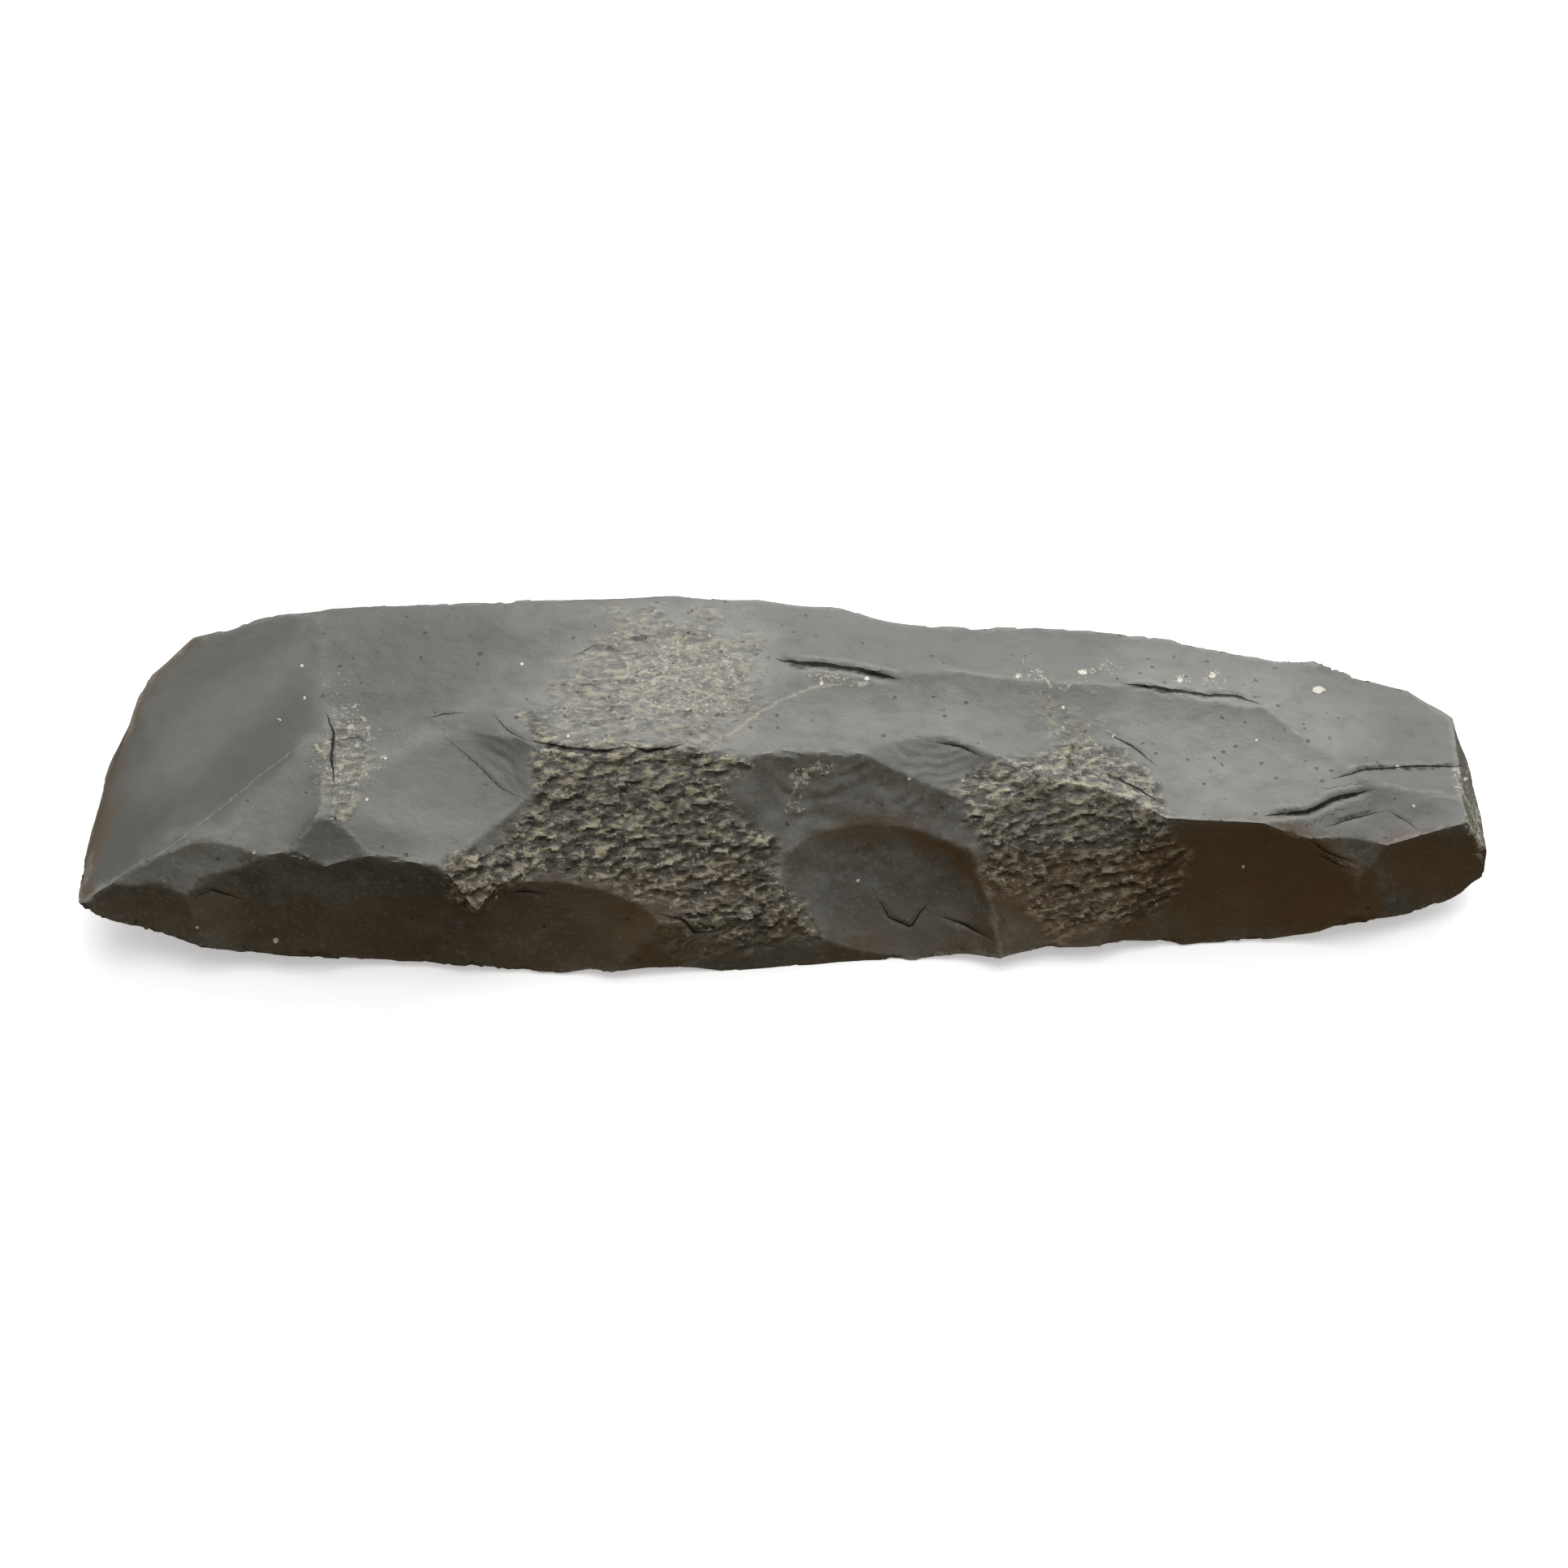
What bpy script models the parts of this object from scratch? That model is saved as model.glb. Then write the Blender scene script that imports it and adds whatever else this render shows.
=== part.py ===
"""A stone adze blade: knapped from one block of basalt, pecked, and ground at its bevel.

The blade lies on its front face. X runs from the cutting edge (-X) to the poll (+X),
-Y is the near flank, +Y the far flank, and +Z is up. Everything is in metres. The
origin is the middle of the blade's box, at the height of the surface that it lies on.
"""

from collections import namedtuple
import math

import bmesh
import bpy
from mathutils import Matrix, Vector

# Driving dimensions of the blade.
LENGTH = 0.1775
BODY_WIDTH = 0.050
THICKNESS = 0.023

# The ground bevel and the cutting edge at its foot. The edge is curved: it sweeps back this
# far at half the BODY_WIDTH from its tip, which lies at this share of half the BODY_WIDTH.
EDGE_HEIGHT = 0.0104
EDGE_BLUNTNESS = 0.0005
EDGE_SWEEP = 0.0033
EDGE_TIP = -0.33
BEVEL_LENGTH = 0.0285
BEVEL_CROWN = 0.0002

# The underside is ground flat where it touches, this deep into the rounded blank.
GROUND_DEPTH = 0.0009

# How squarely the blank's section turns its corners, and how finely it is modelled.
SECTION_SQUARENESS = 8.0
SECTION_POINTS = 36
BLANK_STATIONS = 38
SCAR_SPOKES = 18
SCAR_RINGS = (0.34, 0.68, 1.0, 1.32, 1.7, 2.1)

# Past its opening a dish turns up more steeply, by this share of its width.
SCAR_RIM_RISE = 0.09

# Points nearer than this become one.
SLIVER = 0.00008

STONE_COLOUR = (0.085, 0.083, 0.076, 1.0)
STONE_ROUGHNESS = 0.55

# A station of the blank: its place as a share of LENGTH from the cutting edge, its near
# and far half widths as shares of half the BODY_WIDTH, and the heights of its underside
# and its top as shares of THICKNESS.
Station = namedtuple("Station", "along near far bottom top")
STATIONS = (
    Station(0.00, 0.95, 0.66, 0.446, 0.619),
    Station(0.03, 1.02, 0.94, 0.280, 0.686),
    Station(0.08, 1.01, 0.97, 0.150, 0.783),
    Station(0.15, 0.99, 0.99, 0.071, 0.860),
    Station(0.25, 0.97, 1.01, 0.012, 0.930),
    Station(0.36, 1.03, 0.98, 0.000, 0.998),
    Station(0.47, 1.00, 1.05, -0.019, 1.000),
    Station(0.58, 0.91, 0.90, -0.030, 0.980),
    Station(0.67, 0.86, 0.90, -0.010, 0.940),
    Station(0.75, 0.78, 0.88, 0.027, 0.906),
    Station(0.84, 0.70, 0.81, 0.039, 0.854),
    Station(0.92, 0.56, 0.78, 0.120, 0.760),
    Station(0.97, 0.56, 0.61, 0.170, 0.700),
    Station(1.00, 0.46, 0.43, 0.243, 0.640),
)

# A flake scar is the shallow dish that a struck flake leaves. Its deepest point is given
# as a share of LENGTH from the cutting edge, of half the BODY_WIDTH (-1 near, +1 far)
# and of THICKNESS (0 underside, 1 top). Facing is the way the dish looks round the long
# axis, in degrees: 0 up, 90 near, 180 down, 270 far. Slew turns it towards the poll, and
# twist turns its long side. Long, wide and deep are its opening and its hollow, as
# shares of BODY_WIDTH.
Scar = namedtuple("Scar", "name along across height facing slew twist long wide deep")

NEAR_SCARS = (
    Scar("bit_corner_crescent", 0.059, -0.901, 0.351, 72, -2, 12, 0.17, 0.39, 0.010),
    Scar("bit_corner_facet", 0.082, -0.830, 0.552, 38, -5, 16, 0.24, 0.26, 0.006),
    Scar("bevel_corner_light", 0.123, -0.465, 0.760, 11, -6, 78, 0.47, 0.19, 0.005),
    Scar("bit_flank", 0.149, -0.898, 0.378, 73, -8, 18, 0.27, 0.55, 0.010),
    Scar("shoulder_lip", 0.199, -0.779, 0.801, 31, -5, 8, 0.33, 0.12, 0.004),
    Scar("shoulder_flank", 0.222, -0.882, 0.357, 82, 3, 5, 0.24, 0.57, 0.008),
    Scar("shoulder_light", 0.258, -0.490, 0.816, 15, 2, 18, 0.34, 0.45, 0.012),
    Scar("belly_slope", 0.431, -0.558, 0.596, 45, 4, -31, 0.73, 0.48, 0.016),
    Scar("belly_foot", 0.351, -0.820, 0.311, 68, 2, 39, 0.48, 0.19, 0.007),
    Scar("belly_foot_right", 0.451, -0.846, 0.211, 74, 8, -21, 0.71, 0.31, 0.004),
    Scar("belly_chip", 0.492, -0.330, 0.830, 54, -6, 0, 0.16, 0.18, 0.018),
    Scar("arch_upper", 0.557, -0.243, 0.780, 47, 2, -14, 0.50, 0.37, 0.020),
    Scar("arch_lower", 0.571, -0.600, 0.253, 51, 5, -52, 0.41, 0.29, 0.019),
    Scar("waist_slope", 0.693, -0.532, 0.394, 51, 2, 9, 0.29, 0.56, 0.010),
    Scar("hollow_flank", 0.816, -0.474, 0.463, 75, 4, -1, 0.49, 0.51, 0.022),
    Scar("poll_flank", 0.951, -0.424, 0.324, 76, 19, -25, 0.45, 0.23, 0.004),
    Scar("poll_ripple", 0.886, -0.431, 0.593, 59, 9, -21, 0.16, 0.22, 0.008),
)
TOP_SCARS = (
    Scar("crest_scar", 0.545, 0.050, 0.915, 6, 3, 12, 0.62, 0.28, 0.012),
    Scar("crest_lip", 0.599, -0.073, 0.866, 27, 4, -36, 0.34, 0.18, 0.008),
    Scar("far_crest_scar", 0.556, 0.646, 0.933, 352, 2, -6, 0.40, 0.24, 0.006),
    Scar("far_waist_scar", 0.685, 0.624, 0.869, 357, 4, 0, 0.43, 0.20, 0.006),
    Scar("tail_scar", 0.769, -0.003, 0.764, 5, 4, -10, 0.74, 0.24, 0.005),
    Scar("far_tail_scar", 0.797, 0.560, 0.805, 352, 7, 0, 0.36, 0.19, 0.005),
    Scar("poll_seat", 0.926, 0.341, 0.659, 0, 12, 8, 0.46, 0.30, 0.006),
    Scar("poll_near_scar", 0.919, -0.220, 0.660, 17, 6, 34, 0.43, 0.16, 0.005),
    Scar("poll_end", 0.991, 0.044, 0.482, 354, 61, -20, 0.61, 0.18, 0.004),
)
FAR_SCARS = (
    Scar("far_bit_flank", 0.085, 0.909, 0.351, 270, -4, -14, 0.63, 0.55, 0.016),
    Scar("far_chin_notch", 0.133, 0.806, 0.877, 318, -6, -1, 0.14, 0.14, 0.004),
    Scar("far_shoulder", 0.252, 0.908, 0.454, 272, 2, 33, 0.56, 0.49, 0.015),
    Scar("far_shoulder_upper", 0.308, 0.953, 0.809, 292, -5, -18, 0.47, 0.16, 0.014),
    Scar("far_belly", 0.385, 0.880, 0.360, 262, -4, 0, 0.62, 0.50, 0.026),
    Scar("far_belly_upper", 0.492, 0.965, 0.740, 289, 1, 3, 0.53, 0.32, 0.017),
    Scar("far_waist", 0.555, 0.820, 0.340, 262, 4, -10, 0.60, 0.50, 0.026),
    Scar("far_waist_upper", 0.636, 0.858, 0.780, 298, -1, 18, 0.39, 0.18, 0.014),
    Scar("far_tail", 0.715, 0.806, 0.400, 266, 3, 8, 0.58, 0.49, 0.015),
    Scar("far_tail_notch", 0.853, 0.775, 0.748, 309, 4, -9, 0.17, 0.19, 0.004),
    Scar("far_poll", 0.891, 0.711, 0.400, 270, 8, 0, 0.61, 0.38, 0.017),
)
UNDER_SCARS = (
    Scar("front_edge_scar", 0.075, 0.300, 0.165, 182, -15, 0, 0.60, 0.60, 0.012),
    Scar("front_bit_corner", 0.130, -0.560, 0.079, 170, -13, -30, 0.44, 0.20, 0.006),
    Scar("front_shoulder", 0.229, -0.660, 0.030, 168, 2, 5, 0.51, 0.25, 0.020),
    Scar("front_far_corner", 0.175, 0.700, 0.090, 202, -6, 24, 0.46, 0.32, 0.026),
    Scar("front_belly", 0.426, -0.763, 0.024, 163, -4, -13, 0.46, 0.22, 0.029),
    Scar("front_far_belly", 0.390, 0.780, 0.060, 202, 2, 10, 0.52, 0.30, 0.026),
    Scar("front_far_waist", 0.590, 0.720, 0.070, 204, -3, -8, 0.46, 0.28, 0.026),
    Scar("front_waist", 0.656, -0.583, 0.040, 166, 6, 4, 0.47, 0.27, 0.013),
    Scar("front_tail", 0.815, 0.100, 0.065, 180, 9, 0, 0.50, 0.46, 0.012),
    Scar("front_poll", 0.944, 0.002, 0.117, 178, 13, 20, 0.29, 0.40, 0.009),
)


def smooth_between(values, places, place):
    """The smooth curve through values at places, read at place."""
    last = len(places) - 1
    i = max(k for k in range(last) if places[k] <= place or k == 0)
    slopes = []
    for k in (i, i + 1):
        low, high = max(k - 1, 0), min(k + 1, last)
        slopes.append((values[high] - values[low]) / (places[high] - places[low]))
    span = places[i + 1] - places[i]
    t = (place - places[i]) / span
    rise = values[i + 1] - values[i]
    first = slopes[0] * span
    second = slopes[1] * span
    return values[i] + t * first + t * t * (3 * rise - 2 * first - second) + t**3 * (
        first + second - 2 * rise
    )


def station_at(along):
    """The blank's station at this share of its length."""
    places = [s.along for s in STATIONS]
    columns = [[getattr(s, field) for s in STATIONS] for field in Station._fields[1:]]
    return Station(along, *(smooth_between(c, places, along) for c in columns))


def section_point(station, turn):
    """One point of a station's rounded box section, turn being an angle from the far side."""
    middle = THICKNESS * (station.top + station.bottom) / 2
    half_height = THICKNESS * (station.top - station.bottom) / 2
    power = 2 / SECTION_SQUARENESS
    c, s = math.cos(turn), math.sin(turn)
    across = math.copysign(abs(c) ** power, c)
    up = math.copysign(abs(s) ** power, s)
    half_width = BODY_WIDTH / 2 * (station.far if across > 0 else station.near)
    height = middle + half_height * up
    if height < middle and station.bottom < 0.2:
        height -= GROUND_DEPTH * (middle - height) / half_height
    return across * half_width, height


def edge_curve(y, along):
    """How far the curved cutting edge draws a point back towards the poll."""
    tip = EDGE_TIP * BODY_WIDTH / 2
    reach = max(0.0, 1.0 - along / 0.3) ** 2
    return EDGE_SWEEP * ((y - tip) / (BODY_WIDTH / 2)) ** 2 * reach


def blank_mesh():
    """The blank before flaking: a rounded bar lofted through its stations."""
    bm = bmesh.new()
    rings = []
    for i in range(BLANK_STATIONS):
        share = i / (BLANK_STATIONS - 1)
        along = share + 0.06 * math.sin(2 * math.pi * share) / math.pi * -1
        station = station_at(along)
        ring = []
        for k in range(SECTION_POINTS):
            y, z = section_point(station, 2 * math.pi * k / SECTION_POINTS)
            x = (along - 0.5) * LENGTH + edge_curve(y, along)
            ring.append(bm.verts.new((x, y, z)))
        rings.append(ring)
    for one, other in zip(rings, rings[1:]):
        for k in range(SECTION_POINTS):
            n = (k + 1) % SECTION_POINTS
            bm.faces.new((one[k], other[k], other[n], one[n]))
    bm.faces.new(rings[0])
    bm.faces.new(reversed(rings[-1]))
    bmesh.ops.recalc_face_normals(bm, faces=bm.faces)
    grind_underside(bm)
    return finished_mesh(bm, "blank")


def grind_underside(bm):
    """Cuts the blank off flat at the height of the surface that it lies on."""
    everything = bm.verts[:] + bm.edges[:] + bm.faces[:]
    cut = bmesh.ops.bisect_plane(
        bm,
        geom=everything,
        plane_co=(0, 0, 0),
        plane_no=(0, 0, -1),
        clear_outer=True,
    )
    rim = [e for e in cut["geom_cut"] if isinstance(e, bmesh.types.BMEdge)]
    bmesh.ops.edgeloop_fill(bm, edges=rim)
    bmesh.ops.recalc_face_normals(bm, faces=bm.faces)


def finished_mesh(bm, name):
    mesh = bpy.data.meshes.new(name)
    bm.to_mesh(mesh)
    bm.free()
    return mesh


def dish_frame(where, facing, slew, twist):
    """The axes of a dish: X along its long side, Z the way it looks."""
    f, s = math.radians(facing), math.radians(slew)
    out = Vector((math.sin(s), -math.cos(s) * math.sin(f), math.cos(s) * math.cos(f)))
    along = (Vector((1, 0, 0)) - out * out.x).normalized()
    if abs(out.x) > 0.8:
        along = (Vector((0, 1, 0)) - out * out.y).normalized()
    along = Matrix.Rotation(math.radians(twist), 3, out) @ along
    axes = Matrix((along, out.cross(along), out)).transposed()
    return Matrix.Translation(where) @ axes.to_4x4()


def dish_height(share, wide, deep):
    """How high a dish has risen at this share of the way to its opening's rim."""
    return deep * share**2 + SCAR_RIM_RISE * wide * max(0.0, share - 1) ** 2


def dish_mesh(name, long, wide, deep):
    """A bowl-bottomed plug: what it takes out of the stone is a shallow dish."""
    bm = bmesh.new()
    centre = bm.verts.new((0, 0, 0))
    lid = dish_height(SCAR_RINGS[-1], wide, deep) + THICKNESS / 2
    rings = []
    for share in SCAR_RINGS + (None,):
        reach = SCAR_RINGS[-1] if share is None else share
        height = lid if share is None else dish_height(share, wide, deep)
        ring = []
        for k in range(SCAR_SPOKES):
            a = 2 * math.pi * k / SCAR_SPOKES
            place = (math.cos(a) * reach * long / 2, math.sin(a) * reach * wide / 2, height)
            ring.append(bm.verts.new(place))
        rings.append(ring)
    for k in range(SCAR_SPOKES):
        n = (k + 1) % SCAR_SPOKES
        bm.faces.new((centre, rings[0][k], rings[0][n]))
        for inner, outer in zip(rings, rings[1:]):
            bm.faces.new((inner[k], outer[k], outer[n], inner[n]))
    bm.faces.new(rings[-1])
    bmesh.ops.recalc_face_normals(bm, faces=bm.faces)
    return finished_mesh(bm, name)


def cutter(name, mesh, place, collection):
    """An object that only cuts: it is drawn as wire and left out of a render."""
    ob = bpy.data.objects.new(name, mesh)
    ob.matrix_world = place
    ob.display_type = "WIRE"
    ob.hide_render = True
    collection.objects.link(ob)
    return ob


def flake_scar(scar, collection):
    where = Vector(
        (
            (scar.along - 0.5) * LENGTH,
            scar.across * BODY_WIDTH / 2,
            scar.height * THICKNESS,
        )
    )
    sizes = (share * BODY_WIDTH for share in (scar.long, scar.wide, scar.deep))
    place = dish_frame(where, scar.facing, scar.slew, scar.twist)
    return cutter(scar.name, dish_mesh(scar.name, *sizes), place, collection)


def ground_bevel(collection):
    """The bevel, ground very slightly crowned from its chin down to the cutting edge."""
    chin = station_at(BEVEL_LENGTH / LENGTH)
    foot = EDGE_HEIGHT + EDGE_BLUNTNESS / 2
    head = chin.top * THICKNESS
    slope = math.atan2(head - foot, BEVEL_LENGTH)
    where = Vector(((BEVEL_LENGTH - LENGTH) / 2, 0, (head + foot) / 2 + BEVEL_CROWN))
    mesh = dish_mesh("bevel", BEVEL_LENGTH * 1.3, BODY_WIDTH * 1.5, -BEVEL_CROWN)
    place = dish_frame(where, 0, -math.degrees(slope), 0)
    return cutter("bevel", mesh, place, collection)


def stone_material():
    material = bpy.data.materials.new("basalt")
    material.use_nodes = True
    shader = material.node_tree.nodes["Principled BSDF"]
    shader.inputs["Base Color"].default_value = STONE_COLOUR
    shader.inputs["Roughness"].default_value = STONE_ROUGHNESS
    shader.inputs["Metallic"].default_value = 0.0
    material.diffuse_color = STONE_COLOUR
    return material


def knapped(blank, cutters):
    """The blank's mesh with every cutter taken out of it, one after the other."""
    for tool in cutters:
        cut = blank.modifiers.new(tool.name, "BOOLEAN")
        cut.operation = "DIFFERENCE"
        cut.solver = "EXACT"
        cut.object = tool
    graph = bpy.context.evaluated_depsgraph_get()
    mesh = bpy.data.meshes.new_from_object(blank.evaluated_get(graph), depsgraph=graph)
    blank.modifiers.clear()
    return mesh


def cleaned(mesh):
    """Splits every face into triangles, and merges slivers as far as the body stays closed."""
    for share in (1.0, 0.8, 0.6, 0.4, 0.2, 0.0):
        bm = bmesh.new()
        bm.from_mesh(mesh)
        bmesh.ops.triangulate(bm, faces=bm.faces)
        bmesh.ops.remove_doubles(bm, verts=bm.verts, dist=SLIVER * share)
        bmesh.ops.recalc_face_normals(bm, faces=bm.faces)
        closed = all(e.is_manifold for e in bm.edges)
        if closed:
            bm.to_mesh(mesh)
        bm.free()
        if closed:
            break


def centred(mesh):
    """Moves the mesh so that the middle of its box stands over the origin."""
    for axis in (0, 1):
        places = [v.co[axis] for v in mesh.vertices]
        shift = Vector((0, 0, 0))
        shift[axis] = -(min(places) + max(places)) / 2
        mesh.transform(Matrix.Translation(shift))


def main():
    for ob in list(bpy.data.objects):
        bpy.data.objects.remove(ob, do_unlink=True)
    home = bpy.context.scene.collection
    tools = bpy.data.collections.new("cutters")
    home.children.link(tools)
    adze = bpy.data.objects.new("adze_blade", blank_mesh())
    home.objects.link(adze)
    cutters = [ground_bevel(tools)]
    for scar in TOP_SCARS + NEAR_SCARS + FAR_SCARS + UNDER_SCARS:
        cutters.append(flake_scar(scar, tools))
    adze.data = knapped(adze, cutters)
    adze.data.name = "adze_blade"
    cleaned(adze.data)
    centred(adze.data)
    adze.data.materials.clear()
    adze.data.materials.append(stone_material())


if __name__ == "__main__":
    main()
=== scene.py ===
"""The stone adze blade as it lies in its photograph: the finely flaked surface, its stone and its stage.

The CAD solid gives the form. Its surface is divided finely, its flat facets are smoothed
into flake scars with crisp ridges between them, and the pecking, ripples, cracks and
chipped edges are then worked into it. Marks that show in the photograph are placed by
where they are in its frame, seen from the same camera. The sides that it doesn't show
are worked in the same way from seeded noise.
"""

import math
from collections import namedtuple
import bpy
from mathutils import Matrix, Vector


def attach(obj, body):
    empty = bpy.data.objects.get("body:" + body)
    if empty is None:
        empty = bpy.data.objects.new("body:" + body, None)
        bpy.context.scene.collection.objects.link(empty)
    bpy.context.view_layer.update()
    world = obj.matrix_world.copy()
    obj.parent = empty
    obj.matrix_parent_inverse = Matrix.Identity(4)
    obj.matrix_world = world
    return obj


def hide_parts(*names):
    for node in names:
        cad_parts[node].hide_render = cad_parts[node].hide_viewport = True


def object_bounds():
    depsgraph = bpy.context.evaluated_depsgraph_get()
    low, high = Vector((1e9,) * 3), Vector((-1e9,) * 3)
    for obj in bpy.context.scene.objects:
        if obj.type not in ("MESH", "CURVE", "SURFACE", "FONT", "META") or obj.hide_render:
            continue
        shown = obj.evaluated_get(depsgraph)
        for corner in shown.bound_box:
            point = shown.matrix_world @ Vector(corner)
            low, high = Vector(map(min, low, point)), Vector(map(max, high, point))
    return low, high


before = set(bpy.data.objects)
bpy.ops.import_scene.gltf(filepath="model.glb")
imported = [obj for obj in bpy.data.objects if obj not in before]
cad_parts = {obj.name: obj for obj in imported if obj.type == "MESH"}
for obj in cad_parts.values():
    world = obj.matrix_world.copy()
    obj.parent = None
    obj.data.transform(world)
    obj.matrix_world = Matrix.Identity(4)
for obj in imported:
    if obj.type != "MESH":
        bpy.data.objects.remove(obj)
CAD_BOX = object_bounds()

from types import SimpleNamespace

import bpy
import numpy as np
from bpy.props import FloatProperty, FloatVectorProperty, PointerProperty
from mathutils import Vector
from mathutils.bvhtree import BVHTree

bl_info = {
    "name": "Stone adze blade",
    "version": (1, 0, 0),
    "blender": (4, 5, 0),
    "location": "3D View > Sidebar > Adze",
    "description": "Dresses the packed adze blade and sets its stage",
    "category": "Object",
}

NODE = "adze_blade"
MM = 0.001

# The camera that took the photograph, as near as its perspective tells.
FRAME_PIXELS = 1932
LENS = 75.0
SENSOR = 36.0
CAMERA_TURN = math.radians(2.0)
CAMERA_HEIGHT = math.radians(45.0)
CAMERA_DISTANCE = 0.42
AIM = Vector((-0.00075, 0.0, 0.011))
PIXELS_PER_UNIT = LENS / SENSOR * FRAME_PIXELS
PIXELS_PER_MM = PIXELS_PER_UNIT / CAMERA_DISTANCE * MM

# The fine mesh.
TRIANGLE_LIMIT = 196000
SMOOTHING_TURNS = 30

# The way in which the steps left by pecking fall, and how far they slant up to the right.
STEP_FALL = np.array((0.15, -0.5, -0.85))
STEP_SLANT = math.radians(20.0)
STEP_STRETCH = 2.1

# The stage.
FLOOR_REACH = 2.5
KEY_PLACE, KEY_SIZE = (0.12, 0.50, 0.48), (0.90, 0.46)
OVERHEAD_PLACE, OVERHEAD_SIZE = (0.0, -0.05, 0.75), (0.6, 0.6)

# How far the borders of the patches below wander, in pixels.
BORDER_WANDER = 14

# The marks that the material reads, and the darkness between its finest grains.
STONE_MARKS = ("ground", "pecked", "smooth", "crusted", "stained", "pale", "painted_shade", "ridge")
STONE_MARKS += ("crack", "crack_room", "crest", "crest_room", "speck", "speck_u", "speck_v")
GRAIN_SHADE = (0.01, 0.01, 0.01)

# Marks placed in the photograph's frame, in its pixels. The places on the stone are called, from
# left to right, the bit and its bevel, chin, shoulder, belly, arch, waist, hollow, tail and poll.
# Widths, depths and steps are in millimetres, and the sizes of specks in pixels.
Patch = namedtuple("Patch", "name strength corners soft", defaults=(None,))
Crack = namedtuple("Crack", "name wide deep step path")
Ripple = namedtuple("Ripple", "name centre spacing deep corners")
Crest = namedtuple("Crest", "name wide path")
Speck = namedtuple("Speck", "name place size stretch", defaults=(1.0,))

GROUND_BEVEL = Patch(
    "ground bevel",
    1.0,
    ((60, 1130), (110, 980), (140, 900), (170, 840), (200, 795), (250, 740), (362, 735), (396, 825))
    + ((394, 900), (300, 985), (240, 1034), (225, 1032), (165, 1076), (130, 1090)),
)
PECKED = (
    Patch(
        "belly",
        1.0,
        ((548, 1062), (600, 1042), (652, 1008), (648, 930), (640, 882), (684, 902), (760, 916))
        + ((880, 926), (925, 938), (900, 968), (915, 1000), (955, 1040), (985, 1100), (1010, 1130))
        + ((1015, 1162), (930, 1176), (872, 1150), (800, 1112), (740, 1082), (690, 1074))
        + ((622, 1088), (572, 1128), (545, 1100)),
    ),
    Patch(
        "belly crown",
        0.60,
        ((640, 884), (690, 830), (722, 775), (790, 748), (885, 748), (930, 790), (958, 812))
        + ((940, 862), (900, 900), (880, 928), (760, 918), (690, 905)),
        38,
    ),
    Patch(
        "waist",
        0.9,
        ((1196, 1010), (1178, 962), (1232, 938), (1290, 915), (1352, 905), (1380, 935))
        + ((1420, 962), (1450, 1000), (1440, 1030), (1474, 1046), (1452, 1092), (1420, 1132))
        + ((1300, 1150), (1242, 1104), (1216, 1062)),
    ),
    Patch(
        "waist crown",
        0.4,
        ((1250, 845), (1300, 838), (1368, 880), (1440, 960), (1400, 985), (1290, 930)),
        26,
    ),
    Patch("chin", 0.5, ((398, 880), (440, 885), (470, 915), (445, 970), (430, 1010), (398, 1020))),
    Patch("foot", 0.35, ((800, 1120), (900, 1150), (1010, 1140), (1020, 1175), (820, 1192))),
)
SMOOTH = (
    Patch("triangle", 0.7, ((240, 1036), (350, 1050), (392, 1000), (388, 905))),
    Patch(
        "shoulder",
        0.7,
        ((452, 985), (478, 930), (530, 888), (560, 900), (646, 985), (645, 1008), (598, 1044))
        + ((555, 1050), (490, 1024)),
    ),
    Patch(
        "arch",
        0.6,
        ((985, 1030), (1050, 1015), (1110, 1013), (1170, 1030), (1235, 1080), (1200, 1150))
        + ((1100, 1165), (1010, 1140), (960, 1080)),
    ),
    Patch(
        "hollow",
        0.8,
        ((1450, 1040), (1500, 1010), (1560, 1015), (1680, 1090), (1560, 1152), (1430, 1140)),
    ),
)
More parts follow.
